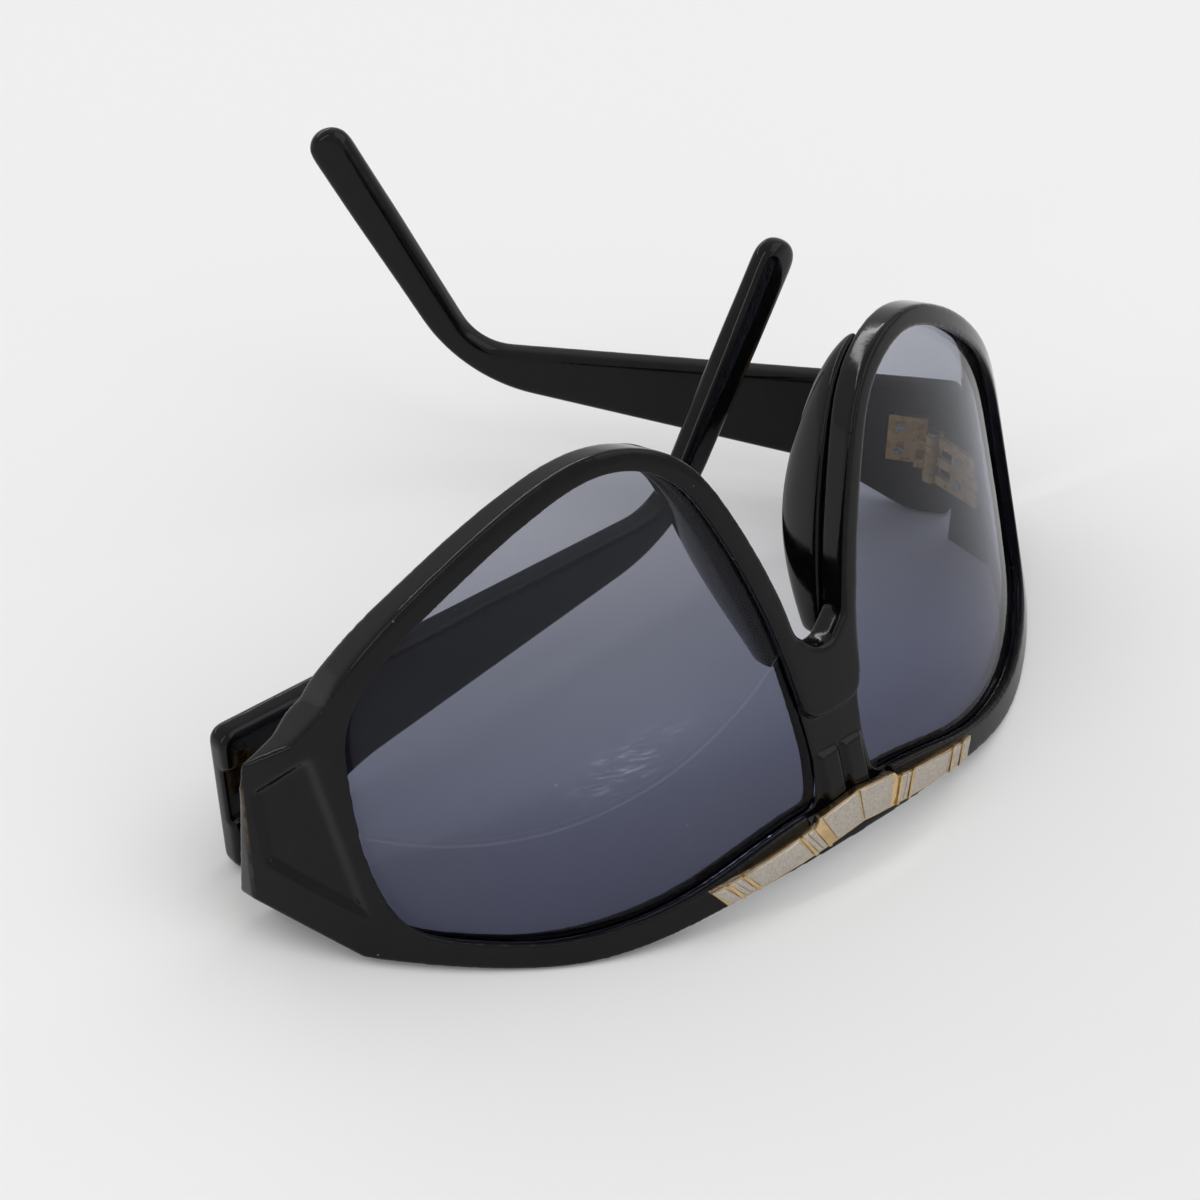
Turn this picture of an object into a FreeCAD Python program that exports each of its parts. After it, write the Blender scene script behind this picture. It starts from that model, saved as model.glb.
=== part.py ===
import FreeCAD, Part
import math
import os

# Oversized sunglasses lying upside down: brow on the table, ear hooks up.
# X runs across the front, Y goes from the front to the ear hooks, Z is up.

doc = FreeCAD.newDocument("Sunglasses")
sheet = doc.addObject("Spreadsheet::Sheet", "Sizes")
SIZES = [
    # the curved front: a cylinder that leans back, with its reference line ahead of the origin
    ("front_radius", 88.0),
    ("front_lean_deg", 19.0),
    ("front_ahead", 70.2),
    ("frame_thick", 4.8),
    ("half_width", 72.9),
    ("front_tall", 73.4),
    # lens openings, lenses and rims
    ("opening_near", 4.8),
    ("end_wide", 11.7),
    ("opening_low", 8.0),
    ("rim_width", 3.0),
    ("lens_lip", 0.9),
    ("lens_fit", 0.05),
    ("lens_inset", 1.7),
    ("lens_thick", 2.0),
    # recesses of the front
    ("panel_depth", 1.0),
    ("neck_depth", 1.5),
    ("slot_width", 1.0),
    ("wedge_width", 3.2),
    ("wedge_top", 20.4),
    ("neck_top", 27.4),
    ("neck_low", 12.4),
    ("neck_width", 9.6),
    # nose pads
    ("pad_deep", 9.0),
    ("pad_thick", 4.4),
    # trim bar on the brow
    ("bar_length", 49.8),
    ("bar_tall", 5.0),
    ("bar_middle", 11.4),
    ("bar_step", 0.5),
    ("bar_drop", 3.4),
    ("bar_thick", 1.2),
    ("ridge_high", 0.3),
    ("ridge_width", 0.5),
    ("inlay_depth", 0.4),
    ("inlay_proud", 0.1),
    ("bar_margin", 0.3),
    ("pin_radius", 0.6),
    ("pin_depth", 2.6),
    ("pin_spread", 30.0),
    # hinges
    ("hinge_inward", 9.0),
    ("hinge_level", 14.5),
    ("hinge_reach", 4.6),
    ("hinge_inset", 3.6),
    ("knuckle_radius", 1.5),
    ("knuckle_tall", 1.7),
    ("knuckle_gap", 0.1),
    ("leaf_thick", 0.9),
    ("front_leaf_long", 6.0),
    ("temple_leaf_long", 8.0),
    ("screw_radius", 0.7),
    ("screw_head_radius", 1.2),
    ("screw_head_tall", 0.6),
    ("running_fit", 0.05),
    ("rivet_radius", 0.6),
    ("rivet_head_radius", 0.9),
    ("rivet_head_tall", 0.3),
    ("rivet_depth", 2.0),
    ("rivet_spread", 4.6),
    # temples
    ("temple_thick", 4.0),
    ("temple_tall", 25.5),
    ("temple_drop", 4.55),
    ("temple_long", 85.5),
    ("rest_long", 8.0),
    ("rise_end", 22.0),
    ("rise_tall", 7.2),
    ("bend_level", 14.9),
    ("hook_length", 48.8),
    ("hook_angle_deg", 59.6),
    ("hook_waist", 5.4),
    ("hook_tip_radius", 3.8),
    ("bend_outer_radius", 26.0),
    ("bend_inner_radius", 9.0),
    ("rise_radius", 24.0),
    ("butt_corner", 2.2),
    ("butt_gap", 0.2),
    ("edge_round", 1.2),
    ("pocket_depth", 1.2),
    ("pocket_margin", 0.5),
    ("core_radius", 0.6),
    ("core_start", 14.0),
    # resting angles of the temples, measured from fully open
    ("left_fold_deg", 86.0),
    ("right_fold_deg", 38.0),
    # length by which cutting tools pass the faces they cut
    ("overrun", 3.0),
]
for row, (alias, value) in enumerate(SIZES, 1):
    sheet.set("A%d" % row, alias)
    sheet.set("B%d" % row, str(value))
    sheet.setAlias("B%d" % row, alias)
doc.recompute()


def size(alias):
    return float(sheet.get(alias))


V = FreeCAD.Vector
LEAN = math.radians(size("front_lean_deg"))
RADIUS = size("front_radius")
UP_FRONT = V(0, math.sin(LEAN), math.cos(LEAN))
INTO_FRONT = V(0, math.cos(LEAN), -math.sin(LEAN))
FOOT = V(0, -size("front_ahead"), 0)
HALF_WIDTH = size("half_width")
OPENING_WIDE = HALF_WIDTH - size("opening_near") - size("end_wide")
OPENING_TALL = size("front_tall") - size("opening_low") - size("rim_width")
HINGE_X = HALF_WIDTH - size("hinge_inward")
# the end pieces stop where the front's face reaches its full width, part way up their height
END_RISE_SHARE = 0.438
END_SINK = RADIUS - math.sqrt(RADIUS ** 2 - HALF_WIDTH ** 2)
END_RISE = END_RISE_SHARE * size("front_tall")
END_Y = END_SINK * math.cos(LEAN) + END_RISE * math.sin(LEAN) - size("front_ahead")
HINGE_Y = END_Y + size("hinge_reach")
LEFT, RIGHT = -1, 1
SIDES = [(LEFT, "left"), (RIGHT, "right")]


# Helpers: flat outlines in the leaning plane of the front, and objects of the document

def on_plane(x, height):
    """Point of the leaning plane just ahead of the front, at this height along the front."""
    return FOOT + V(x, 0, 0) + UP_FRONT * height - INTO_FRONT * size("overrun")


def add(kind, name, **props):
    item = doc.addObject(kind, name)
    for key, value in props.items():
        setattr(item, key, value)
    return item


def fixed(name, shape):
    item = doc.addObject("Part::Feature", name)
    item.Shape = shape
    return item


def prism(name, wire):
    """Solid made by pushing a flat outline straight back through the whole front."""
    face = fixed(name + "_outline", Part.Face(wire))
    item = add("Part::Extrusion", name, Base=face, DirMode="Custom", Dir=INTO_FRONT, Solid=True)
    item.setExpression("LengthFwd", "Sizes.half_width")
    return item


def drum(name, offset):
    """Solid cylinder of the front's curve; offset is an expression added to its radius."""
    item = doc.addObject("Part::Cylinder", name)
    item.setExpression("Radius", "Sizes.front_radius + " + offset)
    item.setExpression("Height", "2 * Sizes.front_tall")
    base = FOOT + INTO_FRONT * RADIUS - UP_FRONT * (size("front_tall") / 2)
    item.Placement = FreeCAD.Placement(base, FreeCAD.Rotation(V(1, 0, 0), -math.degrees(LEAN)))
    return item


def cut(name, base, tool):
    return add("Part::Cut", name, Base=base, Tool=tool)


def common(name, *shapes):
    return add("Part::MultiCommon", name, Shapes=list(shapes))


def fuse(name, *shapes):
    return add("Part::MultiFuse", name, Shapes=list(shapes))


def shell(name, outer, inner):
    """Curved layer of the front between two offsets from its face."""
    return cut(name, drum(name + "_outer", outer), drum(name + "_inner", inner))


def polygon(points):
    corners = [on_plane(x, w) for x, w in points]
    return Part.makePolygon(corners + corners[:1])


def mirrored(points, side):
    return [(side * x, w) for x, w in points]


def closed_spline(points):
    curve = Part.BSplineCurve()
    curve.interpolate(Points=points, PeriodicFlag=True)
    return curve


# Lens opening: nasal lower corner, along the brow, up the temple side, over the top and down the nose
OPENING_SHARES = [
    (0.030, 0.085), (0.200, 0.060), (0.370, 0.020), (0.540, 0.000), (0.700, 0.008),
    (0.840, 0.045), (0.950, 0.100), (0.993, 0.200), (0.995, 0.470), (0.972, 0.595),
    (0.870, 0.735), (0.700, 0.867), (0.520, 0.965), (0.370, 1.000), (0.245, 0.955),
    (0.150, 0.815), (0.075, 0.620), (0.022, 0.400), (0.000, 0.220), (0.004, 0.130),
]


def opening_curve(side, grow):
    """Lens opening of one side, grown outwards all round."""
    points = []
    for across, up in OPENING_SHARES:
        x = size("opening_near") + across * OPENING_WIDE
        points.append(on_plane(side * x, size("opening_low") + up * OPENING_TALL))
    curve = closed_spline(points)
    if not grow:
        return curve
    grown = []
    for point in points:
        tangent = V(*curve.tangent(curve.parameter(point))[0])
        grown.append(point + tangent.cross(INTO_FRONT) * (side * -grow))
    return closed_spline(grown)


def opening(name, side, grow):
    return prism(name, Part.Wire(opening_curve(side, grow).toShape()))


# Outline of brow, end pieces and bridge as shares of half width and front height
BROW_SHARES = [(0.000, 0.090), (0.290, 0.076), (0.550, 0.056), (0.730, 0.095), (0.883, 0.153)]
END_SHARES = [(1.000, 0.292), (0.968, 0.568), (0.898, 0.600), (0.844, 0.661)]
INSIDE_SHARES = [(0.770, 0.600), (0.770, 0.245), (0.137, 0.245), (0.137, 0.525), (0.080, 0.553)]
ARCH_SHARES = [(0.030, 0.507), (0.000, 0.490)]


def share_point(share, side):
    return on_plane(side * share[0] * size("half_width"), share[1] * size("front_tall"))


def brow_wire():
    """Closed outline of the brow with both end pieces and the bridge up to the nose arch."""
    brow = Part.BSplineCurve()
    path = [share_point(p, LEFT) for p in reversed(BROW_SHARES)]
    path += [share_point(p, RIGHT) for p in BROW_SHARES[1:]]
    brow.interpolate(path)
    edges = [brow.toShape()]
    right = [share_point(p, RIGHT) for p in BROW_SHARES[-1:] + END_SHARES + INSIDE_SHARES]
    right.append(share_point(ARCH_SHARES[0], RIGHT))
    left = [share_point(p, LEFT) for p in BROW_SHARES[-1:] + END_SHARES + INSIDE_SHARES]
    left.append(share_point(ARCH_SHARES[0], LEFT))
    edges += [Part.makeLine(a, b) for a, b in zip(right, right[1:])]
    edges.append(Part.Arc(right[-1], share_point(ARCH_SHARES[1], RIGHT), left[-1]).toShape())
    edges += [Part.makeLine(a, b) for a, b in zip(left, left[1:])]
    return Part.Wire(Part.__sortEdges__(edges))


# Front frame: rims, brow, bridge and end pieces cut from one curved sheet of plastic
frame_sheet = shell("frame_sheet", "0", "-Sizes.frame_thick")
brow_prism = prism("brow_prism", brow_wire())
rims = [opening("rim_" + word, side, size("rim_width")) for side, word in SIDES]
openings = [opening("opening_" + word, side, 0) for side, word in SIDES]
front_plan = fuse("front_plan", brow_prism, *rims)
front_blank = common("front_blank", front_plan, frame_sheet)

# End blocks behind the end pieces carry the hinges and end in a flat upright face
PLATE_FACE = HINGE_X + size("leaf_thick") / 2
inner_drum = drum("end_block_drum", "0")
end_blocks = []
for side, word in SIDES:
    block = doc.addObject("Part::Box", "end_box_" + word)
    block.setExpression("Length", "Sizes.hinge_inward - Sizes.leaf_thick / 2")
    block.setExpression("Width", "2 * Sizes.front_leaf_long")
    block.setExpression("Height", "Sizes.front_tall")
    start = PLATE_FACE if side == RIGHT else -size("half_width")
    block.Placement.Base = V(start, END_Y - 2 * size("front_leaf_long"), 0)
    end_blocks.append(common("end_block_" + word, block, inner_drum, brow_prism))

# Recessed panel of each end piece, and the sunk neck with its wedge blocks at the bridge
PANEL_SHARES = [(0.966, 0.515), (0.884, 0.578), (0.866, 0.220), (0.977, 0.361)]
panel_layer = shell("panel_layer", "Sizes.overrun", "-Sizes.panel_depth")
panels = []
for side, word in SIDES:
    corners = [(x * size("half_width"), w * size("front_tall")) for x, w in PANEL_SHARES]
    panels.append(prism("panel_prism_" + word, polygon(mirrored(corners, side))))
panel_cuts = common("panel_cuts", fuse("panel_prisms", *panels), panel_layer)

half_neck = size("neck_width") / 2
half_slot = size("slot_width") / 2
wedge_out = half_slot + size("wedge_width")
NECK = [
    (half_neck, size("neck_top")), (half_neck, size("neck_low")), (wedge_out, size("neck_low")),
    (wedge_out, size("wedge_top")), (half_slot, size("wedge_top")), (half_slot, size("neck_low")),
]
neck_points = NECK + mirrored(reversed(NECK), LEFT)
neck_layer = shell("neck_layer", "Sizes.overrun", "-Sizes.neck_depth")
neck_cut = common("neck_cut", prism("neck_prism", polygon(neck_points)), neck_layer)

# Grooves that hold the lens edges
lens_layer = shell("lens_layer", "-Sizes.lens_inset", "-Sizes.lens_inset - Sizes.lens_thick")
groove_prisms = [opening("groove_" + word, side, size("lens_lip")) for side, word in SIDES]
grooves = common("grooves", fuse("groove_pair", *groove_prisms), lens_layer)

# Holes for the trim pins and the hinge rivets
BAR_LEVEL = size("bar_middle") - size("bar_drop") * size("pin_spread") / size("bar_length")
pin_bores = []
for side, word in SIDES:
    bore = doc.addObject("Part::Cylinder", "pin_bore_" + word)
    bore.setExpression("Radius", "Sizes.pin_radius")
    bore.setExpression("Height", "Sizes.pin_depth + 2 * Sizes.overrun")
    start = on_plane(side * size("pin_spread") / 2, BAR_LEVEL)
    bore.Placement = FreeCAD.Placement(start, FreeCAD.Rotation(V(0, 0, 1), INTO_FRONT))
    pin_bores.append(bore)
trim_pins = common("brow_bar_pins", fuse("pin_pair", *pin_bores), drum("pin_drum", "0"))


def hinge_place(side, turn_deg=0):
    """Placement of a hinge piece on its axis, turned from fully open towards the nose."""
    turn = FreeCAD.Rotation(V(0, 0, 1), side * turn_deg)
    return FreeCAD.Placement(V(side * HINGE_X, HINGE_Y, size("hinge_level")), turn)


KNUCKLES = 5
STEP = size("knuckle_tall") + size("knuckle_gap")
LEAF_TALL = KNUCKLES * STEP - size("knuckle_gap")


def box(name, side, near, far, start, end, low, high, place):
    """Box from near to far outwards, start to end along the temple, low to high."""
    item = add("Part::Box", name, Length=far - near, Width=end - start, Height=high - low)
    corner = V(near if side == RIGHT else -far, start, low)
    item.Placement = place.multiply(FreeCAD.Placement(corner, FreeCAD.Rotation()))
    return item


def rivet_pair(name, side, start, along, place):
    """Two rivets across a leaf: a shank from the leaf's face and a low head upon it."""
    pieces = []
    for level in (-1, 1):
        spot = V(side * start, along, level * size("rivet_spread") / 2)
        across = FreeCAD.Rotation(V(0, 0, 1), V(side, 0, 0))
        shank = doc.addObject("Part::Cylinder", "%s_shank_%d" % (name, level + 1))
        shank.setExpression("Radius", "Sizes.rivet_radius")
        shank.setExpression("Height", "Sizes.leaf_thick + Sizes.rivet_depth")
        shank.Placement = place.multiply(FreeCAD.Placement(spot, across))
        head = doc.addObject("Part::Cylinder", "%s_head_%d" % (name, level + 1))
        head.setExpression("Radius", "Sizes.rivet_head_radius")
        head.setExpression("Height", "Sizes.rivet_head_tall")
        under = spot - V(side * size("rivet_head_tall"), 0, 0)
        head.Placement = place.multiply(FreeCAD.Placement(under, across))
        pieces.append(fuse("%s_rivet_%d" % (name, level + 1), shank, head))
    return add("Part::Compound", name, Links=pieces)


# Front leaf plates, let into the inner sides of the end blocks, with their rivets
half_leaf = size("leaf_thick") / 2
front_rivets = {}
front_plates = {}
for side, word in SIDES:
    place = hinge_place(side)
    reach = -size("hinge_reach")
    far = reach - size("front_leaf_long")
    front_plates[word] = box("front_plate_" + word, side, -half_leaf, half_leaf, far, reach,
                             -LEAF_TALL / 2, LEAF_TALL / 2, place)
    along = reach - size("front_leaf_long") / 4
    front_rivets[word] = rivet_pair("front_rivets_" + word, side, -half_leaf, along, place)

behind_end = doc.addObject("Part::Box", "behind_end")
behind_end.setExpression("Length", "4 * Sizes.half_width")
behind_end.setExpression("Width", "2 * Sizes.front_radius")
behind_end.setExpression("Height", "2 * Sizes.front_tall")
behind_end.Placement.Base = V(-2 * size("half_width"), END_Y, -size("front_tall") / 2)
below_table = doc.addObject("Part::Box", "below_table")
below_table.setExpression("Length", "4 * Sizes.half_width")
below_table.setExpression("Width", "2 * Sizes.front_radius")
below_table.setExpression("Height", "Sizes.front_tall")
below_table.Placement.Base = V(-2 * size("half_width"), -size("front_radius"), -size("front_tall"))

front_solid = fuse("front_solid", front_blank, *end_blocks)
trims = [panel_cuts, neck_cut, grooves, trim_pins, behind_end, below_table]
front_tools = fuse("front_tools", *openings, *trims)
front_open = cut("front_open", front_solid, front_tools)
leaf_seats = add("Part::Compound", "leaf_seats", Links=[*front_plates.values(), *front_rivets.values()])
front_frame = cut("front_frame", front_open, leaf_seats)

# Lenses: curved sheets that fill the openings into the grooves
lenses = []
for side, word in SIDES:
    blank = opening("lens_blank_" + word, side, size("lens_lip") - size("lens_fit"))
    lenses.append(common("lens_" + word, blank, lens_layer))

# Nose pads: leaf-shaped fins bonded to the back of the nasal rims, deepest in the middle
PAD_ALONG_SHARES = [0.885, 0.84, 0.79, 0.75, 0.71, 0.68]
PAD_DEEP_SHARES = [0.55, 0.92, 1.00, 0.80, 0.50, 0.20]
PAD_THICK_SHARES = [0.75, 0.95, 1.00, 0.90, 0.75, 0.60]
pad_drum = drum("pad_drum", "-Sizes.frame_thick")
back_radius = RADIUS - size("frame_thick")
pads = []
for side, word in SIDES:
    rim_middle = opening_curve(side, size("rim_width") / 2)
    span = rim_middle.LastParameter - rim_middle.FirstParameter
    sections = []
    for along, deep, thick in zip(PAD_ALONG_SHARES, PAD_DEEP_SHARES, PAD_THICK_SHARES):
        knot = rim_middle.FirstParameter + along * span
        spot = rim_middle.value(knot)
        tangent = V(*rim_middle.tangent(knot)[0])
        sink = size("overrun") + RADIUS - math.sqrt(back_radius ** 2 - spot.x ** 2)
        middle = spot + INTO_FRONT * sink
        across = tangent.cross(INTO_FRONT)
        deep_half = deep * size("pad_deep")
        thick_half = thick * size("pad_thick") / 2
        ellipse = Part.Ellipse(middle + INTO_FRONT * deep_half, middle + across * thick_half, middle)
        sections.append(Part.Wire(ellipse.toShape()))
    loft = fixed("pad_loft_" + word, Part.makeLoft(sections, True))
    pads.append(common("nose_pad_" + word, loft, pad_drum))

# Trim bar: a gold bar along the middle of the brow, tallest at its two middle fields, that drops
# and narrows to its ends; every dividing line leans, with its foot nearer the middle
HALF_BAR = size("bar_length") / 2
SHOULDER_SHARE = 0.285
BAR_END_SHARE = 0.68
BAR_LEAN_SHARE = 0.75


def bar_top(x):
    """Point of the bar's upper edge at this distance from the middle."""
    far = x / HALF_BAR
    half = size("bar_tall") / 2
    if far > SHOULDER_SHARE:
        half = half * (1 - far * (1 - BAR_END_SHARE)) - size("bar_step")
    return (x, size("bar_middle") - size("bar_drop") * far + half)


def bar_foot(x):
    """Point of the lower edge where the dividing line from the upper edge at x arrives."""
    lean = size("bar_tall") / 2 * min(1, x / (SHOULDER_SHARE * HALF_BAR))
    far = (x - lean * BAR_LEAN_SHARE) / HALF_BAR
    half = size("bar_tall") / 2 * (1 - far * (1 - BAR_END_SHARE))
    return (far * HALF_BAR, size("bar_middle") - size("bar_drop") * far - half)


def bar_field(near, far, margin):
    """Leaning field of the bar between two places along its half, inside a gold margin."""
    down = V(0, -margin, 0)
    tops = [V(*bar_top(x), 0) + down for x in (near, far)]
    feet = [V(*bar_foot(x), 0) - down for x in (far, near)]
    return [(point.x, point.y) for point in tops + feet]


shoulder = SHOULDER_SHARE * HALF_BAR
past_shoulder = shoulder + size("bar_step")
bar_half = [bar_top(0), bar_top(shoulder), bar_top(past_shoulder), bar_top(HALF_BAR)]
bar_half += [bar_foot(HALF_BAR), bar_foot(shoulder), bar_foot(0)]
bar_points = bar_half + mirrored(reversed(bar_half[1:-1]), LEFT)
bar_layer = shell("bar_layer", "Sizes.bar_thick", "0")
bar_blank = common("bar_blank", prism("bar_prism", polygon(bar_points)), bar_layer)
ridge_layer = shell("ridge_layer", "Sizes.bar_thick + Sizes.ridge_high", "0")
inlay_layer = shell("inlay_layer", "Sizes.bar_thick + Sizes.inlay_proud",
                    "Sizes.bar_thick - Sizes.inlay_depth")

# Places along half the bar: gold ridges, and silver fields from the middle to the end tab
RIDGE_SHARES = [0.322, 0.420, 0.800, 0.898]
FIELD_SHARES = [(0.014, 0.268), (0.350, 0.378), (0.388, 0.414), (0.450, 0.794), (0.828, 0.858),
                (0.866, 0.892), (0.928, 0.986)]
ridges = []
inlays = []
for side, word in SIDES:
    for number, place in enumerate(RIDGE_SHARES):
        near = place * HALF_BAR
        points = bar_field(near, near + size("ridge_width"), 0)
        ridges.append(prism("ridge_%s_%d" % (word, number), polygon(mirrored(points, side))))
    for number, (near, far) in enumerate(FIELD_SHARES):
        points = bar_field(near * HALF_BAR, far * HALF_BAR, size("bar_margin"))
        inlays.append(prism("field_%s_%d" % (word, number), polygon(mirrored(points, side))))
brow_inlays = common("brow_bar_inlays", add("Part::Compound", "inlay_prisms", Links=inlays), inlay_layer)
bar_ridges = common("bar_ridges", add("Part::Compound", "ridge_prisms", Links=ridges), ridge_layer)
brow_bar = cut("brow_bar", fuse("bar_with_ridges", bar_blank, bar_ridges), brow_inlays)

# Hinges: five knuckles on one screw, three on the front leaf and two on the temple leaf

def barrel(name, radius, low, expression, place):
    item = doc.addObject("Part::Cylinder", name)
    item.setExpression("Radius", radius)
    item.setExpression("Height", expression)
    item.Placement = place.multiply(FreeCAD.Placement(V(0, 0, low), FreeCAD.Rotation()))
    return item


def knuckles(name, side, first, near, far, start, end, place):
    """Every second knuckle, each with the tab that joins it to its leaf."""
    pieces = []
    for number in range(first, KNUCKLES, 2):
        low = number * STEP - LEAF_TALL / 2
        pieces.append(barrel("%s_barrel_%d" % (name, number), "Sizes.knuckle_radius", low,
                             "Sizes.knuckle_tall", place))
        pieces.append(box("%s_tab_%d" % (name, number), side, near, far, start, end,
                          low, low + size("knuckle_tall"), place))
    return pieces


def bore(name, radius, place):
    low = -LEAF_TALL / 2 - size("overrun")
    return barrel(name, radius, low, "5 * Sizes.knuckle_tall + 3 * Sizes.overrun", place)


pocket_floor = size("hinge_inset") + size("pocket_depth")
hinge_front = {}
hinge_screws = {}
for side, word in SIDES:
    place = hinge_place(side)
    name = "hinge_front_leaf_" + word
    parts = knuckles(name, side, 0, -half_leaf, half_leaf, -size("hinge_reach"), 0, place)
    solid = fuse(name + "_solid", front_plates[word], *parts)
    leaf = cut(name + "_bored", solid, bore(name + "_bore", "Sizes.screw_radius", place))
    hinge_front[word] = cut(name, leaf, front_rivets[word])
    shank = barrel("screw_shank_" + word, "Sizes.screw_radius", -LEAF_TALL / 2,
                   "5 * Sizes.knuckle_tall + 4 * Sizes.knuckle_gap", place)
    head = barrel("screw_head_" + word, "Sizes.screw_head_radius", LEAF_TALL / 2,
                  "Sizes.screw_head_tall", place)
    hinge_screws[word] = fuse("hinge_screw_" + word, shank, head)

# Temples: a deep flat blade that tapers to the bend, then an ear hook with a rounded tip
HOOK = math.radians(size("hook_angle_deg"))
BUTT = -size("hinge_reach") + size("butt_gap")
TIP_SHARE = 0.9
CORE_SHARE = 0.6


def rounded(corners):
    """Line and arc pieces of a closed outline of corners, each with its rounding radius."""
    ends = []
    arcs = []
    count = len(corners)
    for number, (corner, radius) in enumerate(corners):
        back = (corners[number - 1][0] - corner).normalize()
        ahead = (corners[(number + 1) % count][0] - corner).normalize()
        half = back.getAngle(ahead) / 2
        trim = radius / math.tan(half)
        middle = (back + ahead).normalize() * (radius / math.sin(half) - radius)
        ends.append((corner + back * trim, corner + ahead * trim))
        arcs.append(Part.Arc(corner + back * trim, corner + middle, corner + ahead * trim))
    lines = [Part.LineSegment(ends[n][1], ends[(n + 1) % count][0]) for n in range(count)]
    return arcs + lines


def temple_outline():
    """Corners of the blade and hook, seen from the side, with the radius of each corner."""
    low = -size("hinge_level")
    along = V(math.cos(HOOK), math.sin(HOOK), 0)
    out = V(math.sin(HOOK), -math.cos(HOOK), 0)
    heel = V(BUTT, low, 0)
    outer = heel + V(size("temple_long"), size("bend_level"), 0)
    inner = outer - out * size("hook_waist")
    tip = outer + along * size("hook_length") - out * (size("hook_waist") / 2)
    tip_half = size("hook_tip_radius")
    top = heel + V(0, size("temple_tall"), 0)
    taper = V(size("temple_long"), -size("temple_drop"), 0)
    side_line = tip - out * tip_half - inner
    reach = (inner - top).cross(side_line).z / taper.cross(side_line).z
    corners = [
        (heel, size("butt_corner")),
        (heel + V(size("rest_long"), 0, 0), size("bend_inner_radius")),
        (heel + V(size("rise_end"), size("rise_tall"), 0), size("rise_radius")),
        (outer, size("bend_outer_radius")),
        (tip + out * tip_half, tip_half * TIP_SHARE),
        (tip - out * tip_half, tip_half * TIP_SHARE),
        (top + taper * reach, size("bend_inner_radius")),
        (top, size("butt_corner")),
    ]
    return corners


def plane_of(body, role):
    return [item for item in body.Origin.OriginFeatures if item.Role == role][0]


def side_sketch(body, name, side):
    """Sketch on the temple's inner face, seen from the right: Y across, Z up."""
    sketch = body.newObject("Sketcher::SketchObject", name)
    sketch.AttachmentSupport = (plane_of(body, "YZ_Plane"), [""])
    sketch.MapMode = "FlatFace"
    sign = "" if side == RIGHT else "-"
    sketch.setExpression("AttachmentOffset.Base.z", sign + "Sizes.hinge_inset")
    return sketch


def temple_blade(name, side, place):
    body = doc.addObject("PartDesign::Body", name + "_blade")
    profile = side_sketch(body, name + "_profile", side)
    profile.addGeometry(rounded(temple_outline()), False)
    blade = body.newObject("PartDesign::Pad", name + "_pad")
    blade.Profile = profile
    blade.setExpression("Length", "Sizes.temple_thick")
    blade.Reversed = side == LEFT
    doc.recompute()
    full = body.Shape.Volume
    rim = [n for n, edge in enumerate(blade.Shape.Edges, 1)
           if abs(edge.Vertexes[0].X - edge.Vertexes[-1].X) < size("lens_fit")]
    soft = body.newObject("PartDesign::Fillet", name + "_edge")
    soft.Base = (blade, ["Edge%d" % n for n in rim])
    soft.setExpression("Radius", "Sizes.edge_round")
    doc.recompute()
    recess = side_sketch(body, name + "_recess", side)
    margin = size("pocket_margin")
    low, high = -LEAF_TALL / 2 - margin, LEAF_TALL / 2 + margin
    start, end = BUTT - size("overrun"), size("temple_leaf_long") + margin
    corners = [V(start, low, 0), V(end, low, 0), V(end, high, 0), V(start, high, 0)]
    edges = [Part.LineSegment(a, b) for a, b in zip(corners, corners[1:] + corners[:1])]
    recess.addGeometry(edges, False)
    pocket = body.newObject("PartDesign::Pocket", name + "_pocket")
    pocket.Profile = recess
    pocket.setExpression("Length", "Sizes.pocket_depth")
    pocket.Reversed = side == RIGHT
    body.Placement = place
    doc.recompute()
    if body.Shape.Volume >= full - size("pocket_depth"):
        raise RuntimeError(name + ": the hinge pocket cut nothing")
    return body


def core_wire(name, side, place):
    """Stiffening wire sealed in the middle of the blade and hook."""
    low = -size("hinge_level")
    deep = side * (size("hinge_inset") + size("temple_thick") / 2)
    along = V(0, math.cos(HOOK), math.sin(HOOK))
    out = V(0, math.sin(HOOK), -math.cos(HOOK))
    start = V(deep, size("core_start"), low + size("temple_tall") * CORE_SHARE)
    outside = V(deep, BUTT + size("temple_long"), low + size("bend_level"))
    elbow = outside - out * (size("hook_waist") / 2)
    end = elbow + along * (size("hook_length") - size("hook_tip_radius"))
    back = (start - elbow).normalize()
    ahead = (end - elbow).normalize()
    half = back.getAngle(ahead) / 2
    bend = size("bend_inner_radius") + size("hook_waist") / 2
    trim = bend / math.tan(half)
    middle = elbow + (back + ahead).normalize() * (bend / math.sin(half) - bend)
    path = Part.Wire([
        Part.makeLine(start, elbow + back * trim),
        Part.Arc(elbow + back * trim, middle, elbow + ahead * trim).toShape(),
        Part.makeLine(elbow + ahead * trim, end),
    ])
    ring = Part.Wire(Part.makeCircle(size("core_radius"), start, elbow - start))
    item = fixed(name, path.makePipeShell([ring], True, False))
    item.Placement = place
    return item


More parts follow.
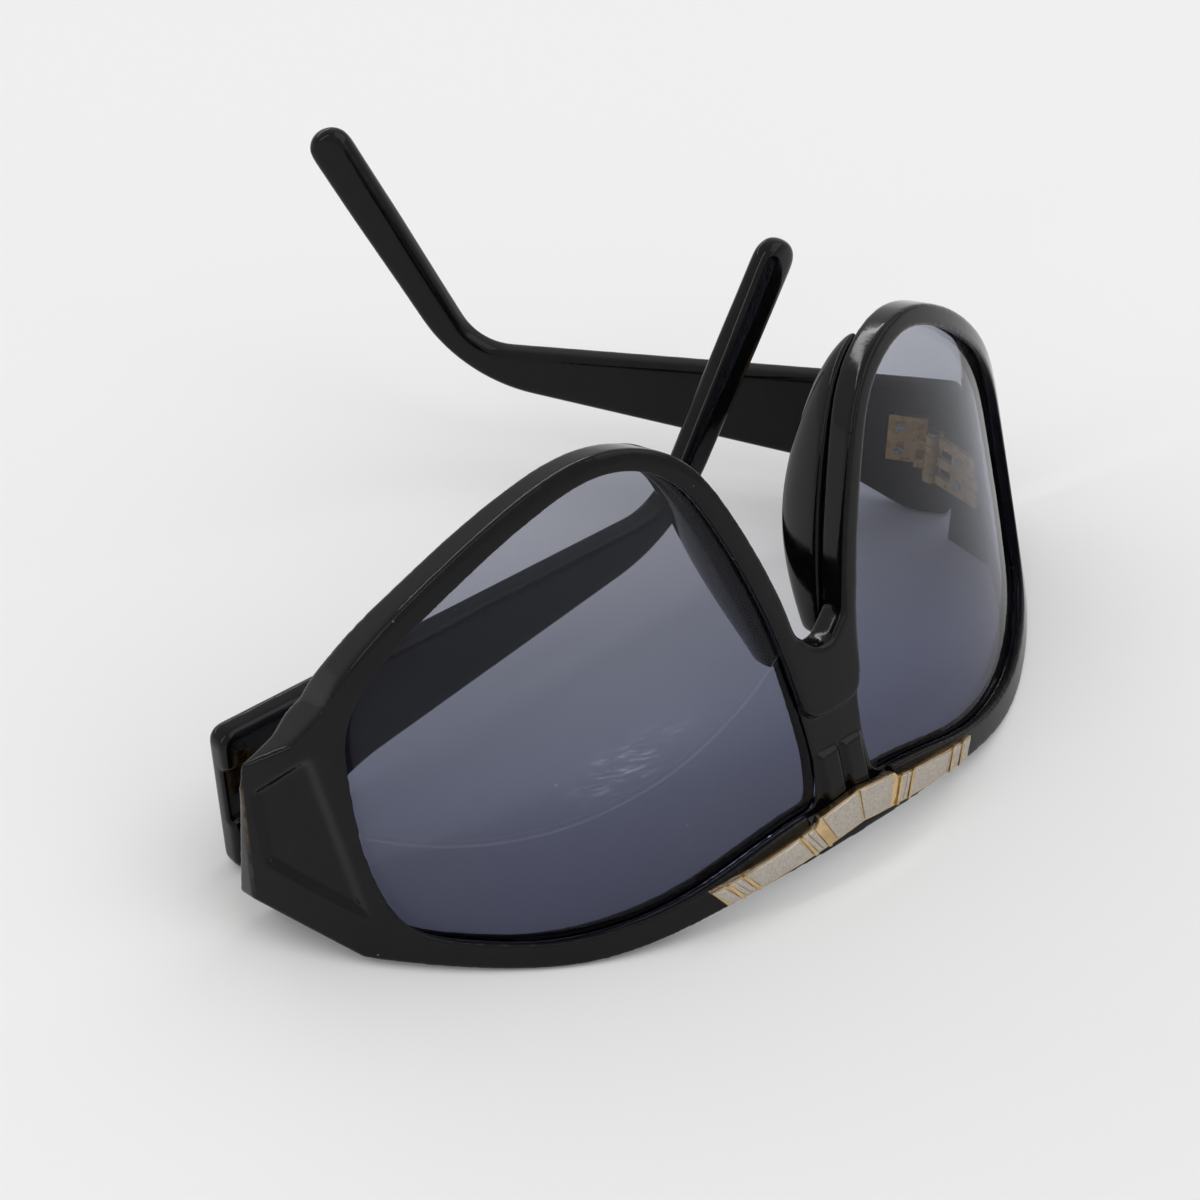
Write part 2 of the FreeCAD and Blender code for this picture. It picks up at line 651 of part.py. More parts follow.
FOLD = {"left": "left_fold_deg", "right": "right_fold_deg"}
temples = {}
hinge_temple = {}
temple_rivets = {}
cores = {}
for side, word in SIDES:
    place = hinge_place(side, size(FOLD[word]))
    blade = temple_blade("temple_" + word, side, place)
    cores[word] = core_wire("temple_core_" + word, side, place)
    rivet_start = pocket_floor - size("leaf_thick")
    rivet_along = size("temple_leaf_long") * 3 / 4
    temple_rivets[word] = rivet_pair("temple_rivets_" + word, side, rivet_start, rivet_along, place)
    name = "hinge_temple_leaf_" + word
    plate = box(name + "_plate", side, pocket_floor - size("leaf_thick"), pocket_floor,
                size("knuckle_radius"), size("temple_leaf_long"), -LEAF_TALL / 2, LEAF_TALL / 2, place)
    parts = knuckles(name, side, 1, 0, pocket_floor, 0, 2 * size("knuckle_radius"), place)
    loose = "Sizes.screw_radius + Sizes.running_fit"
    leaf = cut(name + "_bored", fuse(name + "_solid", plate, *parts), bore(name + "_bore", loose, place))
    hinge_temple[word] = cut(name, leaf, temple_rivets[word])
    inner = add("Part::Compound", "temple_inner_" + word, Links=[cores[word], temple_rivets[word]])
    temples[word] = cut("temple_" + word, blade, inner)

doc.recompute()

nodes = [front_frame, *lenses, *pads, brow_bar, brow_inlays, trim_pins]
for table in (hinge_front, front_rivets, hinge_screws, temples, hinge_temple, temple_rivets, cores):
    nodes += [table["left"], table["right"]]

for item in doc.Objects:
    if "Invalid" in item.State or "Error" in item.State:
        raise RuntimeError(item.Label + " failed: " + str(item.State))
os.makedirs("parts", exist_ok=True)
for node in nodes:
    if node.Shape.isNull() or not node.Shape.isValid():
        raise RuntimeError(node.Label + " has no valid shape")
for node in nodes:
    node.Shape.exportStep("parts/%s.step" % node.Label)
    print("%-28s solids %d volume %.1f" % (node.Label, len(node.Shape.Solids), node.Shape.Volume))
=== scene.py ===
import math

import bpy
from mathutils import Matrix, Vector


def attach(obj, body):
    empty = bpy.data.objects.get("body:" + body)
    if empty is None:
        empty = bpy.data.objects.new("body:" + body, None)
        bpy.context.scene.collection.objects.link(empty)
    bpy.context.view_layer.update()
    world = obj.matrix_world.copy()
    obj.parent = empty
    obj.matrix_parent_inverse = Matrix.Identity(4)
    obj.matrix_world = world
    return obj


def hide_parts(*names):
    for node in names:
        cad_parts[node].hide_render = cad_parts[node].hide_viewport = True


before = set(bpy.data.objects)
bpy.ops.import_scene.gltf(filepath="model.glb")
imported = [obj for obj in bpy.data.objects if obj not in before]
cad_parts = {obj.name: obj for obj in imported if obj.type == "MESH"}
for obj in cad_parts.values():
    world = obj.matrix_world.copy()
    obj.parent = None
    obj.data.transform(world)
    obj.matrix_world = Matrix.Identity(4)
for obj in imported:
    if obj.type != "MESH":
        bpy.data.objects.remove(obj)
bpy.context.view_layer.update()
MM = 0.001

# Front frame: one piece of polished black cellulose acetate with both rims, the brow, the bridge
# and the broad end pieces. It is milled from a curved sheet and tumbled until its edges are soft.
BLACK = "#060607"
WIPED_BLACK = "#0E0E10"
PALE_DUST = "#8A8780"
# Tan of the painted highlight along the outer corner edge of the end pieces
EDGE_HIGHLIGHT_TAN = "#9A8468"
ACETATE_IOR = 1.48
ACETATE_GLOSS = 0.22
RIPPLE_LENGTH = 9 * MM
RIPPLE_HEIGHT = 0.25 * MM
WIPE_MARK = 2.5 * MM
DUST_APART = 3.4 * MM
END_SLANT = 0.109
# Where the painted edge highlight starts on the end pieces
EDGE_HIGHLIGHT_FROM = 73.4 * MM
EDGE_HIGHLIGHT_TO = EDGE_HIGHLIGHT_FROM + 0.3 * MM
EDGE_INWARD = -27.6 * MM
EDGE_WIDTH = 0.6 * MM


def linear(hex_colour):
    """sRGB hex colour as linear RGBA."""
    parts = [int(hex_colour[i:i + 2], 16) / 255 for i in (1, 3, 5)]
    return [c / 12.92 if c <= 0.04045 else ((c + 0.055) / 1.055) ** 2.4 for c in parts] + [1.0]


def grey(value):
    """Grey of this linear value."""
    return [value, value, value, 1.0]


def add_node(material, kind, inputs=None, **settings):
    """One shader node with its settings; an input is a value, or the socket that feeds it."""
    node = material.node_tree.nodes.new(kind)
    for key, value in settings.items():
        setattr(node, key, value)
    for key, value in (inputs or {}).items():
        if isinstance(value, bpy.types.NodeSocket):
            material.node_tree.links.new(value, node.inputs[key])
        else:
            node.inputs[key].default_value = value
    return node


def new_material(name):
    """Empty material with its shader and the position in the object's own frame, in metres."""
    material = bpy.data.materials.new(name)
    material.use_nodes = True
    shader = material.node_tree.nodes["Principled BSDF"]
    place = add_node(material, "ShaderNodeTexCoord").outputs["Object"]
    return material, shader, place


def link(material, source, shader, socket):
    """Feeds a socket of the shader."""
    material.node_tree.links.new(source, shader.inputs[socket])


def calculate(material, operation, *values):
    """Result of a sum on values or sockets."""
    inputs = dict(enumerate(values))
    return add_node(material, "ShaderNodeMath", inputs, operation=operation).outputs["Value"]


def ramp(material, factor, stops):
    """Colour ramp from (position, colour) stops."""
    node = add_node(material, "ShaderNodeValToRGB", {"Fac": factor})
    elements = node.color_ramp.elements
    while len(elements) < len(stops):
        elements.new(0.5)
    for element, (position, colour) in zip(elements, stops):
        element.position = position
        element.color = colour
    return node.outputs["Color"]


def fade(material, value, low, high, at_low=0.0, at_high=1.0):
    """Straight change from at_low, where the value is low, to at_high, where it is high."""
    inputs = {"Value": value, "From Min": low, "From Max": high, "To Min": at_low, "To Max": at_high}
    return add_node(material, "ShaderNodeMapRange", inputs).outputs["Result"]


def blend(material, factor, first, second):
    """Colour between two colours."""
    inputs = {"Factor": factor, "A": first, "B": second}
    return add_node(material, "ShaderNodeMix", inputs, data_type="RGBA").outputs[2]


def noise(material, place, size, detail, roughness=0.5):
    """Cloudy pattern whose features are about this size."""
    inputs = {"Vector": place, "Scale": 1 / size, "Detail": detail, "Roughness": roughness}
    return add_node(material, "ShaderNodeTexNoise", inputs).outputs["Fac"]


def scattered_dust(material, place, apart, grain, rare, tone):
    """Grains in cells this far apart: grain is where a grain starts and ends to fade, as shares of
    a cell, and rare is where the share of cells that hold one starts."""
    cells = add_node(material, "ShaderNodeTexVoronoi", {"Vector": place, "Scale": 1 / apart})
    round_grain = [(0.0, grey(1)), (grain[0], grey(1)), (grain[1], grey(0))]
    few_cells = [(0.0, grey(0)), (rare[0], grey(0)), (rare[1], grey(tone))]
    return calculate(material, "MULTIPLY", ramp(material, cells.outputs["Distance"], round_grain),
                     ramp(material, cells.outputs["Color"], few_cells))


def polished_acetate(name, rough_low, rough_high):
    """Tumbled and polished acetate: deep black with a wet gloss, faint ripples of hand polishing,
    fine wiping marks, a few grains of pale dust about 0.15 mm wide, and a thin tan painted
    highlight along the outer corner edge of the end pieces."""
    material, shader, place = new_material(name)
    ripple = noise(material, place, RIPPLE_LENGTH, 2.0, 0.4)
    wipe = noise(material, place, WIPE_MARK, 6.0, 0.65)
    dust = scattered_dust(material, place, DUST_APART, (0.035, 0.045), (0.70, 0.72), 0.5)
    body = ramp(material, wipe, [(0.35, linear(BLACK)), (0.80, linear(WIPED_BLACK))])
    dusty = blend(material, dust, body, linear(PALE_DUST))

    # Painted highlight: a thin tan line along the outer corner edge of each end piece.
    split = add_node(material, "ShaderNodeSeparateXYZ", {"Vector": place})
    across = calculate(material, "ABSOLUTE", split.outputs["X"])
    reach = calculate(material, "MULTIPLY_ADD", split.outputs["Z"], END_SLANT, across)
    highlight_band = fade(material, reach, EDGE_HIGHLIGHT_FROM, EDGE_HIGHLIGHT_TO)
    patchy = ramp(material, wipe, [(0.38, grey(0.05)), (0.58, grey(0.4))])
    painted_edge_highlight = calculate(material, "MULTIPLY", highlight_band, patchy)
    inward = add_node(material, "ShaderNodeVectorMath",
                      {0: place, 1: INTO_FRONT + Vector((0, 0, END_SLANT))}, operation="DOT_PRODUCT")
    corner = fade(material, inward.outputs["Value"], EDGE_INWARD, EDGE_INWARD + EDGE_WIDTH, 1.0, 0.0)
    painted_edge_highlight = calculate(material, "MULTIPLY", painted_edge_highlight, corner)
    link(material, blend(material, painted_edge_highlight, dusty, linear(EDGE_HIGHLIGHT_TAN)), shader, "Base Color")

    rough = ramp(material, wipe, [(0.30, grey(rough_low)), (0.75, grey(rough_high))])
    link(material, rough, shader, "Roughness")
    bump = add_node(material, "ShaderNodeBump",
                    {"Height": ripple, "Strength": 0.05, "Distance": RIPPLE_HEIGHT})
    link(material, bump.outputs["Normal"], shader, "Normal")
    shader.inputs["IOR"].default_value = ACETATE_IOR
    shader.inputs["Specular IOR Level"].default_value = ACETATE_GLOSS
    return material


def set_material(piece, material):
    """Gives a piece this one material."""
    piece.data.materials.clear()
    piece.data.materials.append(material)


MERGE_GAP = 0.002 * MM
SMOOTH_SHARE = 0.5
ROUND_FROM = 22 * MM
ROUND_OVER = 12 * MM
FINE_FACES = 190000


def only(piece):
    """Makes this the one selected and active object."""
    bpy.ops.object.select_all(action="DESELECT")
    piece.select_set(True)
    bpy.context.view_layer.objects.active = piece


def copy_of(node, name):
    """Own copy of a solid's mesh with its loose triangles merged."""
    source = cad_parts[node]
    piece = bpy.data.objects.new(name, source.data.copy())
    bpy.context.collection.objects.link(piece)
    only(piece)
    bpy.ops.object.mode_set(mode="EDIT")
    bpy.ops.mesh.select_all(action="SELECT")
    bpy.ops.mesh.remove_doubles(threshold=MERGE_GAP)
    bpy.ops.object.mode_set(mode="OBJECT")
    return piece


def modify(piece, kind, **settings):
    """Adds a modifier, sets it and applies it."""
    only(piece)
    modifier = piece.modifiers.new(kind.lower(), kind)
    for key, value in settings.items():
        setattr(modifier, key, value)
    bpy.ops.object.modifier_apply(modifier=modifier.name)


def tumble(piece, rounds):
    """Eases all edges by as many rounds of smoothing."""
    modify(piece, "SMOOTH", factor=SMOOTH_SHARE, iterations=rounds)


def tumble_more(piece, rounds, weight):
    """Eases edges further, each point by its weight from 0 to 1."""
    group = piece.vertex_groups.new(name="ease")
    for vertex in piece.data.vertices:
        group.add([vertex.index], weight(vertex.co), "REPLACE")
    modify(piece, "SMOOTH", factor=SMOOTH_SHARE, iterations=rounds, vertex_group=group.name)
    piece.vertex_groups.clear()


def thinned(piece):
    """Drops faces where the surface is plain, and shades it smooth."""
    triangles = 2 * len(piece.data.polygons)
    if triangles > FINE_FACES:
        modify(piece, "DECIMATE", ratio=FINE_FACES / triangles)
    bpy.ops.object.shade_smooth()


def step(low, high, value):
    """Soft step from 0 at low to 1 at high."""
    share = min(1, max(0, (value - low) / (high - low)))
    return share * share * (3 - 2 * share)


def rounder_above(place):
    """Rims and hooks are rounder than the flat parts near the table."""
    return step(ROUND_FROM, ROUND_FROM + ROUND_OVER, place.z)


FRONT_RADIUS = 88 * MM
FRONT_LEAN = math.radians(19)
FRONT_FOOT = Vector((0, -70.2, 0)) * MM
UP_FRONT = Vector((0, math.sin(FRONT_LEAN), math.cos(FRONT_LEAN)))
INTO_FRONT = Vector((0, math.cos(FRONT_LEAN), -math.sin(FRONT_LEAN)))


def on_front(along, up, deep):
    """Point of the curved front, from the length along its curve, the height up its lean and the
    depth under its face."""
    turn = along / FRONT_RADIUS
    radius = FRONT_RADIUS - deep
    return FRONT_FOOT + Vector((radius * math.sin(turn), 0, 0)) + UP_FRONT * up + \
        INTO_FRONT * (FRONT_RADIUS - radius * math.cos(turn))


def front_place(point):
    """The same three lengths of a point."""
    offset = point - FRONT_FOOT
    ahead = FRONT_RADIUS - offset.dot(INTO_FRONT)
    along = FRONT_RADIUS * math.atan2(offset.x, ahead)
    return along, offset.dot(UP_FRONT), FRONT_RADIUS - math.hypot(offset.x, ahead)


FILL_CUTS = 11


def fill(corners, deep):
    """Curved block under the face of the front, between four (along, up) corners."""
    bpy.ops.mesh.primitive_cube_add(size=1)
    block = bpy.context.object
    bpy.ops.object.mode_set(mode="EDIT")
    bpy.ops.mesh.subdivide(number_cuts=FILL_CUTS)
    bpy.ops.object.mode_set(mode="OBJECT")
    (low_a, low_b, high_b, high_a) = [Vector(c) for c in corners]
    for vertex in block.data.vertices:
        across, rise, face = vertex.co + Vector((0.5, 0.5, 0.5))
        place = low_a.lerp(low_b, across).lerp(high_a.lerp(high_b, across), rise)
        vertex.co = on_front(place.x, place.y, deep * (1 - face))
    return block


def inside_edges(corners, along, up):
    """Distances inside the edges of an outline, each less than zero outside it."""
    middle = sum((Vector(c) for c in corners), Vector((0, 0))) / len(corners)
    distances = []
    for a, b in zip(corners, corners[1:] + corners[:1]):
        normal = Vector((b[1] - a[1], a[0] - b[0])).normalized()
        if normal.dot(middle - Vector(a)) < 0:
            normal.negate()
        distances.append(normal.dot(Vector((along, up)) - Vector(a)))
    return distances


# Sunk panel of each end piece: (along, up) corners, and the width of the wall at each edge
PANEL = [(81.4 * MM, 37.6 * MM), (71.2 * MM, 42.6 * MM),
         (69.4 * MM, 16.4 * MM), (82.4 * MM, 26.8 * MM)]
PANEL_WALLS = [1.0 * MM, 2.6 * MM, 1.0 * MM, 1.0 * MM]
PANEL_LIP = 0.2 * MM
PANEL_FROM = 60 * MM
PANEL_SINK = 0.9 * MM
PANEL_FILL = [(69.8 * MM, 15.4 * MM), (84.6 * MM, 26.0 * MM),
              (83.0 * MM, 38.4 * MM), (71.6 * MM, 43.0 * MM)]

# Sunk neck under the nose arch, with two wedge blocks and the slot between them
NECK_HALF = 5.2 * MM
NECK_SINK = 1.25 * MM
NECK_FOOT = 11.4 * MM
NECK_FULL = 12.4 * MM
NECK_FILL_HALF = 4.75 * MM
NECK_FILL_LOW = 12.0 * MM
NECK_FILL_HIGH = 28.0 * MM
NECK_FILL = [(-NECK_FILL_HALF, NECK_FILL_LOW), (NECK_FILL_HALF, NECK_FILL_LOW),
             (NECK_FILL_HALF, NECK_FILL_HIGH), (-NECK_FILL_HALF, NECK_FILL_HIGH)]
ARCH_EDGE = 26.4 * MM
ARCH_CORNER = 2.8 * MM
ARCH_LIP = 0.1 * MM
ARCH_WALL = 0.6 * MM
SLOT_HALF = 0.2 * MM
SLOT_WALL_END = 0.7 * MM
WEDGE_HALF = 4.3 * MM
WEDGE_FLAT_HALF = 3.6 * MM
WEDGE_TOP = 20.4 * MM
WEDGE_EDGE = 0.4 * MM
WEDGE_RISE = 0.6 * MM
WEDGE_SLOPE = 0.06

FILL_DEPTH = 1.6 * MM
PRESS_DEPTH = 1.6 * MM


def sunk_depth(along, up):
    """Depth of the moulded relief under the face of the front: end panels with soft walls, and
    the neck below the round-cornered nose arch with its two wedge blocks and the slot."""
    across = abs(along)
    if across > PANEL_FROM:
        walls = zip(inside_edges(PANEL, across, up), PANEL_WALLS)
        return PANEL_SINK * math.prod(step(-PANEL_LIP, wall, inside) for inside, wall in walls)
    if across > NECK_HALF + ARCH_CORNER or up > ARCH_EDGE + ARCH_CORNER:
        return 0
    side = max(0, across - (NECK_HALF - ARCH_CORNER))
    below = max(0, ARCH_EDGE + ARCH_CORNER - up)
    neck = NECK_SINK * step(-ARCH_LIP, ARCH_WALL, math.hypot(side, below) - ARCH_CORNER)
    block = step(SLOT_HALF, SLOT_WALL_END, across) * step(WEDGE_HALF, WEDGE_FLAT_HALF, across)
    rise = WEDGE_RISE * step(WEDGE_TOP + WEDGE_EDGE, WEDGE_TOP - WEDGE_EDGE, up)
    rise += WEDGE_SLOPE * max(0, WEDGE_TOP - up)
    return max(0, neck - block * rise) * step(NECK_FOOT, NECK_FULL, up)


def press(piece):
    """Presses the relief into the face of the front; points at PRESS_DEPTH stay where they are."""
    for vertex in piece.data.vertices:
        along, up, deep = front_place(vertex.co)
        if deep < PRESS_DEPTH:
            sunk = sunk_depth(along, up)
            if sunk:
                vertex.co = on_front(along, up, sunk + deep * (1 - sunk / PRESS_DEPTH))


NOTCH_UP = 38 * MM
NOTCH_NEAR = 5 * MM
NOTCH_FAR = 9 * MM
LIP_FROM = 46 * MM
LIP_FULL_FROM = 54 * MM
LIP_FULL_TO = 67 * MM
LIP_TO = 70 * MM


def notch(place):
    """Near the foot of the nose arch, which is polished into one round hollow."""
    along, up = front_place(place)[:2]
    return step(NOTCH_FAR, NOTCH_NEAR, math.hypot(along, up - NOTCH_UP))


def thin_lip(place):
    """Towards the end pieces, where the openings cut the curved sheet at a slant and leave a
    thin lip."""
    across = abs(front_place(place)[0])
    return step(LIP_FROM, LIP_FULL_FROM, across) * step(LIP_TO, LIP_FULL_TO, across)


FRAME_GRID = 0.22 * MM
ROUNDS_BEFORE_PRESS = 12
ROUNDS_AFTER_PRESS = 7
RIM_ROUNDS = 30
NOTCH_ROUNDS = 60
LIP_ROUNDS = 30
END_FROM = 62 * MM
END_FACE = -23.13 * MM

black_acetate = polished_acetate("black_acetate_polished", 0.05, 0.14)
front = copy_of("front_frame", "acetate_front")
blocks = [fill([(side * along, up) for along, up in PANEL_FILL], FILL_DEPTH) for side in (-1, 1)]
blocks.append(fill(NECK_FILL, FILL_DEPTH))
only(front)
for block in blocks:
    block.select_set(True)
bpy.ops.object.join()
modify(front, "REMESH", mode="VOXEL", voxel_size=FRAME_GRID)
tumble(front, ROUNDS_BEFORE_PRESS)
press(front)
tumble(front, ROUNDS_AFTER_PRESS)
tumble_more(front, RIM_ROUNDS, rounder_above)
tumble_more(front, NOTCH_ROUNDS, notch)
tumble_more(front, LIP_ROUNDS, thin_lip)
for vertex in front.data.vertices:
    if abs(vertex.co.x) > END_FROM:
        vertex.co.y = min(vertex.co.y, END_FACE)
thinned(front)
set_material(front, black_acetate)
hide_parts("front_frame")
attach(front, "front")

# Nose pads: two leaf-shaped mouldings of the same black acetate. They are cemented behind the
# nasal rims and polished with them, so they are the roundest pieces of the front.
PAD_ROUNDS = 60
for word in ("left", "right"):
    pad = copy_of("nose_pad_" + word, "acetate_nose_pad_" + word)
    modify(pad, "REMESH", mode="VOXEL", voxel_size=FRAME_GRID)
    tumble(pad, PAD_ROUNDS)
    thinned(pad)
    set_material(pad, black_acetate)
    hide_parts("nose_pad_" + word)
    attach(pad, "front")

# Lenses: 2 mm sheets of cast optical resin, dip-dyed blue-grey so that the brow side is darkest.
# They spring into grooves of the rims. A painted reflection lightens the upper part of the left lens
# and ends in a faint arc; wiping has left a streak and a few grains.
DYE_FROM = 5 * MM
DYE_TO = 64 * MM
DYE = [(0.0, "#80829A"), (0.30, "#82869D"), (0.65, "#8B8E9E"), (1.0, "#AAACB6")]
# Pale tone of the painted reflection on the left lens, and of its wiping streak and dust
REFLECTION_AND_SMUDGE_TONE = "#E4E6EE"
RESIN_IOR = 1.2
LENS_FACE = 1.7 * MM
# Circle whose edge is the arc of the painted reflection on the left lens
ARC_RADIUS = 60 * MM
ARC_CENTRE = on_front(-45 * MM, 84 * MM, LENS_FACE)
ARC_EDGE = 1.0 * MM
ARC_FADE = 0.6 * MM
REFLECTION_TONE = 0.02
STREAK_SPOT = on_front(-31 * MM, 31 * MM, LENS_FACE)
STREAK_NEAR = 3 * MM
STREAK_FAR = 11 * MM
STREAK_BAND = 9 * MM
STREAK_TURN = math.radians(-35)
STREAK_DRAWN = (0.22, 1.0, 2.6)
STREAK_LINE = 1.3 * MM
LENS_DUST_APART = 4.5 * MM


def dyed_resin(name):
    """Clear cast resin with a gradient dye over the lens height. On the left lens a painted
    reflection lightens the upper part and ends in a faint arc, with a streak of fine wiping lines
    beside it.
    Dust is about 0.2 mm wide."""
    material, shader, place = new_material(name)
    split = add_node(material, "ShaderNodeSeparateXYZ", {"Vector": place})
    height = fade(material, split.outputs["Z"], DYE_FROM, DYE_TO)
    dye = ramp(material, height, [(position, linear(colour)) for position, colour in DYE])

    # Painted reflection: a faint lighter film on the upper part of the left lens, ending in a
    # brighter arc line.
    arc_distance = add_node(material, "ShaderNodeVectorMath", {0: place, 1: ARC_CENTRE},
                         operation="DISTANCE").outputs["Value"]
    painted_reflection = fade(material, arc_distance, ARC_RADIUS - ARC_EDGE, ARC_RADIUS + ARC_FADE, REFLECTION_TONE, 0.0)
    arc_place = fade(material, arc_distance, ARC_RADIUS - ARC_EDGE, ARC_RADIUS + ARC_EDGE)
    painted_arc_line = ramp(material, arc_place, [(0.0, grey(0)), (0.35, grey(0)), (0.5, grey(0.12)),
                                       (0.62, grey(0)), (1.0, grey(0))])

    touch = add_node(material, "ShaderNodeVectorMath", {0: place, 1: STREAK_SPOT},
                     operation="DISTANCE").outputs["Value"]
    near = fade(material, touch, STREAK_NEAR, STREAK_FAR, 1.0, 0.0)
    band = fade(material, arc_distance, ARC_RADIUS - STREAK_BAND, ARC_RADIUS - ARC_EDGE)
    narrow = ramp(material, band, [(0.0, grey(0)), (0.35, grey(1)), (0.75, grey(1)), (1.0, grey(0))])
    slant = add_node(material, "ShaderNodeMapping",
                     {"Vector": place, "Rotation": (0, STREAK_TURN, 0), "Scale": STREAK_DRAWN})
    hairs = noise(material, slant.outputs["Vector"], STREAK_LINE, 5.0, 0.6)
    lines = ramp(material, hairs, [(0.50, grey(0)), (0.66, grey(0.30))])
    streak = calculate(material, "MULTIPLY", calculate(material, "MULTIPLY", near, narrow), lines)

    dust = scattered_dust(material, place, LENS_DUST_APART, (0.030, 0.042), (0.60, 0.64), 0.3)
    # The painted reflection, the wiping streak and the dust all blend the lens towards the pale
    # tone.
    reflection_and_smudge = painted_reflection
    for part in (painted_arc_line, streak, dust):
        reflection_and_smudge = calculate(material, "ADD", reflection_and_smudge, part)
    link(material, blend(material, reflection_and_smudge, dye, linear(REFLECTION_AND_SMUDGE_TONE)), shader, "Base Color")
    link(material, calculate(material, "SUBTRACT", 1.0, reflection_and_smudge), shader, "Transmission Weight")
    shader.inputs["Roughness"].default_value = 0.0
    shader.inputs["IOR"].default_value = RESIN_IOR
    return material


lens_resin = dyed_resin("resin_gradient_blue_grey")
for word in ("left", "right"):
    set_material(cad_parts["lens_" + word], lens_resin)

# Trim bar: a die-struck brass bar, gold plated, with brushed white-metal inlays pressed into its
# sunk fields. Two pins behind it are pushed into the brow.
BEVEL_FROM = math.radians(40)
SHARP_FROM = math.radians(35)
BAR_EDGE = 0.07 * MM
INLAY_EDGE = 0.05 * MM
INLAY_LAP = 0.1 * MM


def brushed_metal(name, dark, light, rough_low, rough_high, grain, drawn, metallic=1.0):
    """Metal with a fine grain, drawn out by this factor across the bar where it is brushed; the
    lines are drawn coarser than real ones, which are too fine to show."""
    material, shader, place = new_material(name)
    lines = add_node(material, "ShaderNodeMapping",
                     {"Vector": place, "Scale": (1.0, 1 / drawn, 1 / drawn)})
    brush = noise(material, lines.outputs["Vector"], grain, 4.0)
    tone = ramp(material, brush, [(0.30, linear(dark)), (0.70, linear(light))])
    link(material, tone, shader, "Base Color")
    rough = ramp(material, brush, [(0.30, grey(rough_low)), (0.70, grey(rough_high))])
    link(material, rough, shader, "Roughness")
    shader.inputs["Metallic"].default_value = metallic
    return material


def struck(node, name, edge):
    """Copy of a metal piece with the small edge rounding that striking and plating leave."""
    piece = copy_of(node, name)
    modify(piece, "BEVEL", width=edge, segments=2, limit_method="ANGLE", angle_limit=BEVEL_FROM)
    bpy.ops.object.shade_smooth_by_angle(angle=SHARP_FROM)
    return piece


gold_plate = brushed_metal("brass_gold_plated", "#A98D63", "#D2B98E", 0.18, 0.30, 2.5 * MM, 1)
bar = struck("brow_bar", "gold_trim_bar", BAR_EDGE)
set_material(bar, gold_plate)
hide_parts("brow_bar")
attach(bar, "front")

white_metal = brushed_metal("white_metal_brushed", "#9C948A", "#C2BAB0", 0.28, 0.42, 0.12 * MM, 3)
inlays = struck("brow_bar_inlays", "silver_trim_inlays", INLAY_EDGE)
bpy.ops.object.mode_set(mode="EDIT")
bpy.ops.mesh.select_all(action="SELECT")
bpy.ops.transform.shrink_fatten(value=INLAY_LAP)
bpy.ops.object.mode_set(mode="OBJECT")
set_material(inlays, white_metal)
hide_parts("brow_bar_inlays")
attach(inlays, "front")
set_material(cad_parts["brow_bar_pins"], gold_plate)

# Hinges: five-knuckle leaves stamped from gold-plated brass. A steel screw goes through each
# hinge, and two steel rivets hold each leaf to the acetate.
hinge_brass = brushed_metal("brass_hinge_plated", "#BE9A60", "#D9BA80", 0.22, 0.34, 2.0 * MM, 1,
                            metallic=0.6)
turned_steel = brushed_metal("steel_turned", "#8C8A86", "#C4C2BE", 0.20, 0.34, 0.4 * MM, 1)
for word in ("left", "right"):
    for node in ("hinge_front_leaf_", "hinge_temple_leaf_"):
        set_material(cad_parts[node + word], hinge_brass)
    for node in ("front_rivets_", "temple_rivets_", "hinge_screw_"):
        set_material(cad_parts[node + word], turned_steel)

# Temples: deep flat blades of black acetate that taper into ear hooks with rounded paddle ends.
# A steel wire is shot into each one hot, and the hook is then bent.
TEMPLE_GRID = 0.3 * MM
BLADE_ROUNDS = 10
HOOK_ROUNDS = 20
PADDLE_ROUNDS = 80
PADDLE_FROM = 42 * MM
PADDLE_FULL = 58 * MM


def paddle(place):
    """The ends of the ear hooks are the roundest."""
    return step(PADDLE_FROM, PADDLE_FULL, place.z)


core_steel = brushed_metal("steel_drawn_wire", "#77767A", "#9C9B9F", 0.30, 0.45, 0.3 * MM, 6)
for word in ("left", "right"):
    temple = copy_of("temple_" + word, "acetate_temple_" + word)
    modify(temple, "REMESH", mode="VOXEL", voxel_size=TEMPLE_GRID)
    tumble(temple, BLADE_ROUNDS)
    tumble_more(temple, HOOK_ROUNDS, rounder_above)
    tumble_more(temple, PADDLE_ROUNDS, paddle)
    thinned(temple)
    set_material(temple, black_acetate)
    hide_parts("temple_" + word)
    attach(temple, word + "_arm")
    set_material(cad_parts["temple_core_" + word], core_steel)

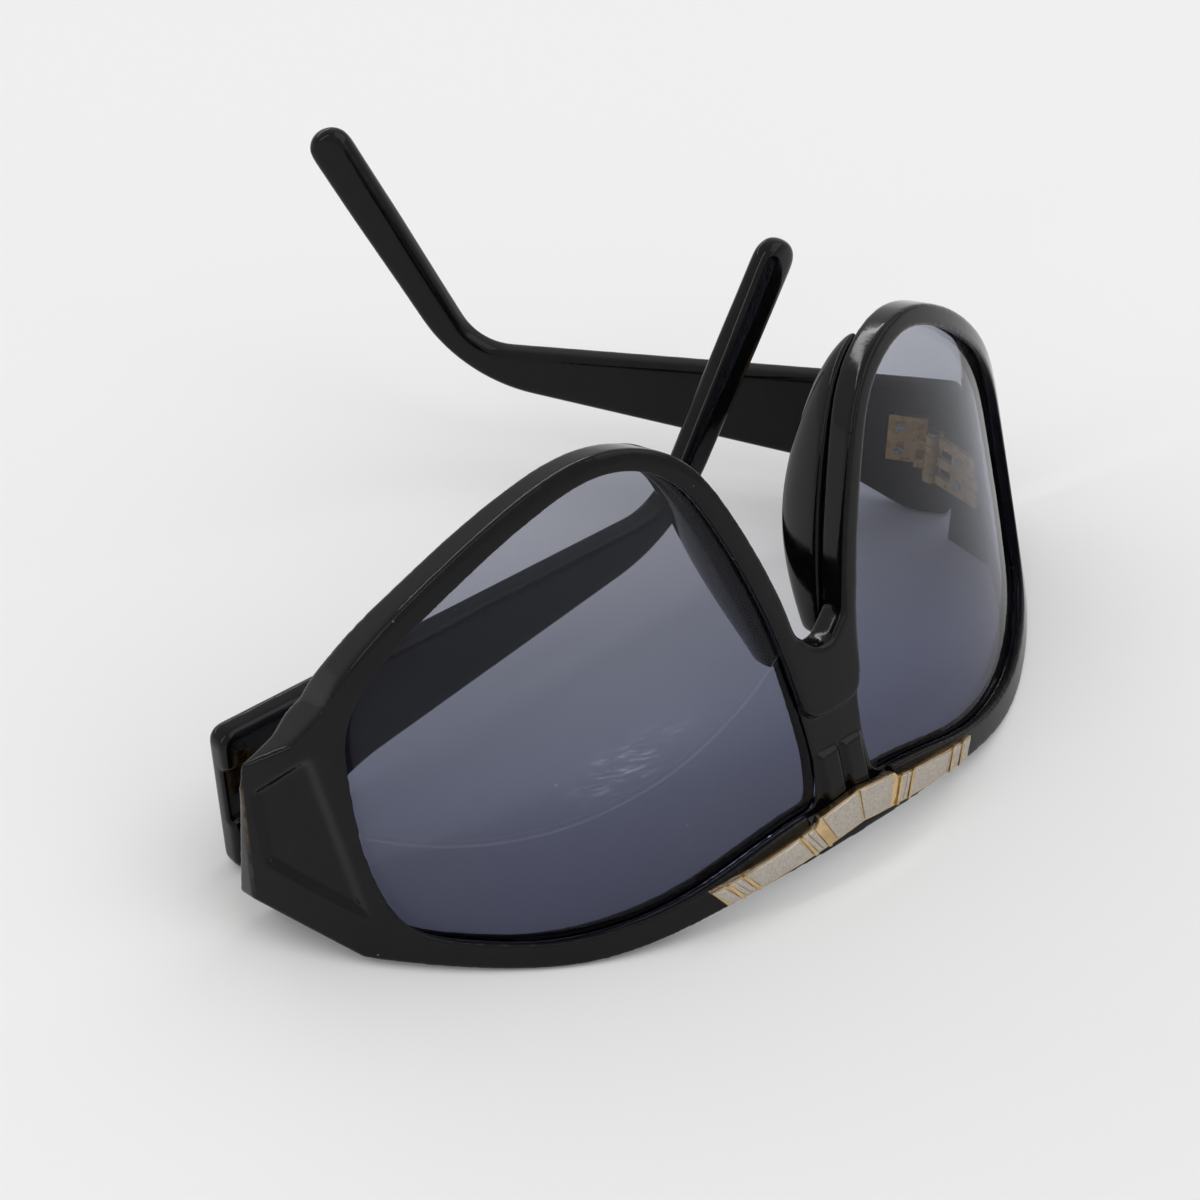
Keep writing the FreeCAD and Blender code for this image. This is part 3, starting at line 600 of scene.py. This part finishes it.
# Studio: a table of matt pale paint, a wide soft box above at the right, narrow strips at the
# left and behind, and a low fill in front. The camera looks down on the brow from the front left.
TABLE_TONE = "#ECECEC"
TABLE_SIZE = 6.0
CENTRE = (0, 0, 0.03)
WORLD_LEVEL = 0.69

bpy.ops.mesh.primitive_plane_add(size=TABLE_SIZE, location=(0, 0, 0))
floor = bpy.context.object
floor.name = "table"
table_paint, table_shader = new_material("table_matte_paint")[:2]
table_shader.inputs["Base Color"].default_value = linear(TABLE_TONE)
table_shader.inputs["Roughness"].default_value = 0.9
set_material(floor, table_paint)


def lamp(name, place, width, height, power):
    """Area lamp that points at the middle of the object."""
    bpy.ops.object.light_add(type="AREA", location=place)
    item = bpy.context.object
    item.name = name
    item.data.shape = "RECTANGLE"
    item.data.size = width
    item.data.size_y = height
    item.data.energy = power
    item.rotation_euler = (Vector(CENTRE) - Vector(place)).to_track_quat("-Z", "Y").to_euler()


lamp("soft_box", (1.0, -0.8, 2.1), 3.0, 2.4, 22.0)
lamp("strip_left", (-1.5, 0.2, 1.1), 0.1, 1.8, 4.0)
lamp("strip_back", (-0.2, 1.8, 0.9), 2.4, 0.08, 4.8)
lamp("fill_front", (0.4, -1.8, 1.0), 1.2, 1.0, 2.0)

world = bpy.data.worlds.new("studio")
bpy.context.scene.world = world
world.use_nodes = True
sky = world.node_tree.nodes["Background"]
sky.inputs["Color"].default_value = linear("#FFFFFF")
sky.inputs["Strength"].default_value = WORLD_LEVEL

CAMERA_TURN = math.radians(-39.139)
CAMERA_TILT = math.radians(90 - 38.993)
CAMERA_AT = (-0.17108, -0.22087, 0.23116)
PHOTO_WIDTH = 1200
FOCAL_PIXELS = 2286.4
SENSOR_WIDTH = 36.0
NEAREST = 0.01
bpy.ops.object.camera_add(location=CAMERA_AT, rotation=(CAMERA_TILT, 0, CAMERA_TURN))
camera = bpy.context.object
camera.data.sensor_width = SENSOR_WIDTH
camera.data.lens = SENSOR_WIDTH * FOCAL_PIXELS / PHOTO_WIDTH
camera.data.clip_start = NEAREST
bpy.context.scene.camera = camera
bpy.context.scene.view_settings.view_transform = "Standard"
